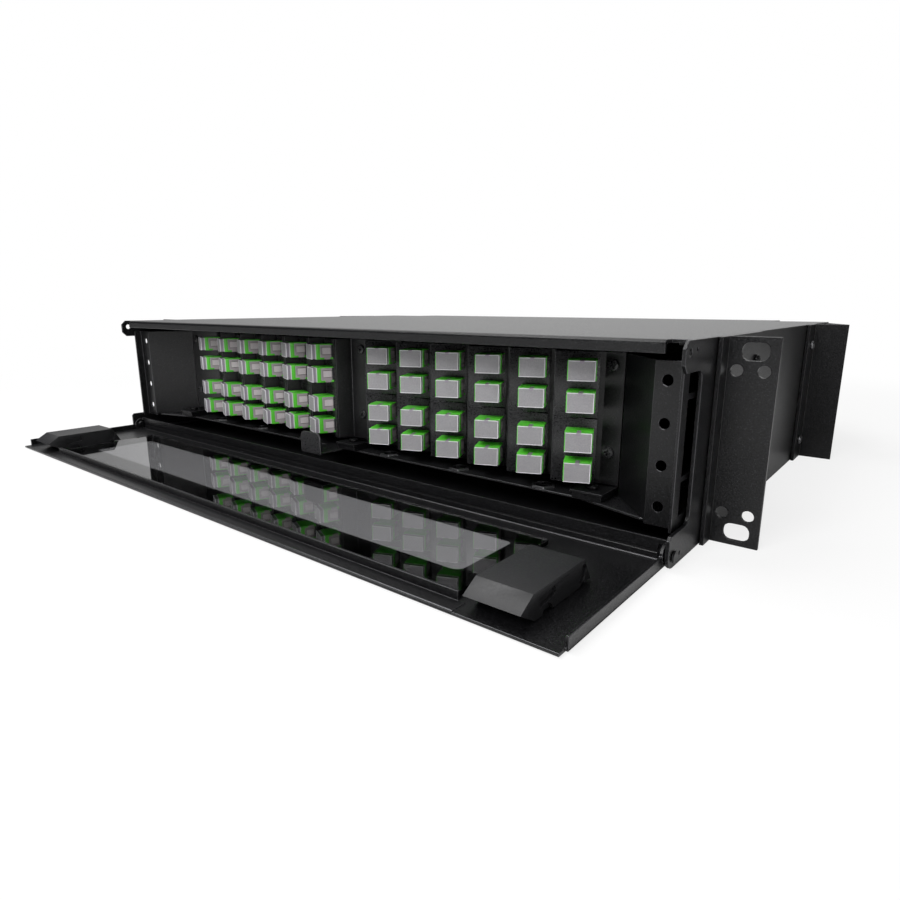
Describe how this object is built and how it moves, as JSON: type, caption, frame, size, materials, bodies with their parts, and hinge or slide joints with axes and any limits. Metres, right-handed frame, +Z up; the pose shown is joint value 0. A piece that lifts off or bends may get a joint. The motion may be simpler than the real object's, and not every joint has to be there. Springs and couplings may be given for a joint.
{
  "type": "rack fibre distribution box",
  "caption": "Low rack box for fibre patching with angled green adapter columns behind a drop-down window door with slide latches, and rack ears.",
  "frame": {"origin": "centre of the underside of the base pan, on the plane that the box rests on", "axes": "+X to the right seen from the front, +Y to the back, +Z up"},
  "size_m": [0.4826, 0.4165, 0.088],
  "materials": {
    "powder_coated_steel": "fine textured black powder coat",
    "black_zinc_steel": "black zinc plated steel",
    "green_adapter_plastic": "moulded green plastic with grey translucent dust caps",
    "smoked_acrylic": "clear smoked sheet",
    "black_plastic": "moulded, satin",
    "clear_plastic": "clear moulded plastic",
    "black_rubber": "moulded rubber"
  },
  "bodies": {
    "housing": {"base_pan": "powder_coated_steel", "top_cover": "powder_coated_steel", "side_plate_left": "powder_coated_steel", "side_plate_right": "powder_coated_steel", "front_ear_left": "powder_coated_steel", "front_ear_right": "powder_coated_steel", "rear_ear_left": "powder_coated_steel", "rear_ear_right": "powder_coated_steel", "ear_screw_left_front_low": "black_zinc_steel", "ear_screw_left_front_high": "black_zinc_steel", "ear_screw_left_rear_low": "black_zinc_steel", "ear_screw_left_rear_high": "black_zinc_steel", "ear_screw_right_front_low": "black_zinc_steel", "ear_screw_right_front_high": "black_zinc_steel", "ear_screw_right_rear_low": "black_zinc_steel", "ear_screw_right_rear_high": "black_zinc_steel", "hinge_pin_left": "black_zinc_steel", "hinge_pin_right": "black_zinc_steel", "tray_floor": "powder_coated_steel", "tray_support_1": "powder_coated_steel", "tray_support_2": "powder_coated_steel", "tray_side_left": "powder_coated_steel", "tray_side_right": "powder_coated_steel", "adapter_bank": "powder_coated_steel", "bank_screw_1": "black_zinc_steel", "bank_screw_2": "black_zinc_steel", "bank_screw_3": "black_zinc_steel", "bank_screw_4": "black_zinc_steel", "bank_screw_5": "black_zinc_steel", "bank_screw_6": "black_zinc_steel", "foot_screw_1": "black_zinc_steel", "foot_screw_2": "black_zinc_steel", "foot_screw_3": "black_zinc_steel", "adapter_column_left_1": "green_adapter_plastic", "adapter_column_left_2": "green_adapter_plastic", "adapter_column_left_3": "green_adapter_plastic", "adapter_column_left_4": "green_adapter_plastic", "adapter_column_left_5": "green_adapter_plastic", "adapter_column_left_6": "green_adapter_plastic", "adapter_column_right_1": "green_adapter_plastic", "adapter_column_right_2": "green_adapter_plastic", "adapter_column_right_3": "green_adapter_plastic", "adapter_column_right_4": "green_adapter_plastic", "adapter_column_right_5": "green_adapter_plastic", "adapter_column_right_6": "green_adapter_plastic", "splice_cassette": "black_plastic", "splice_cassette_lid": "clear_plastic", "fibre_spool_left": "black_plastic", "fibre_spool_right": "black_plastic", "cable_grommet_left": "black_rubber", "cable_grommet_right": "black_rubber"},
    "door": {"door_panel": "powder_coated_steel", "door_window": "smoked_acrylic"},
    "latch_left": {"door_latch_left": "black_plastic"},
    "latch_right": {"door_latch_right": "black_plastic"}
  },
  "joints": [
    {"name": "door_hinge", "type": "hinge", "parent": "housing", "child": "door", "pos_m": [0, -0.1641, 0.0051], "axis": [-1, 0, 0], "range_deg": [0, 90]},
    {"name": "latch_left_slide", "type": "slide", "parent": "door", "child": "latch_left", "axis": [0, 1, 0], "range_m": [0, 0.003]},
    {"name": "latch_right_slide", "type": "slide", "parent": "door", "child": "latch_right", "axis": [0, 1, 0], "range_m": [0, 0.003]}
  ]
}
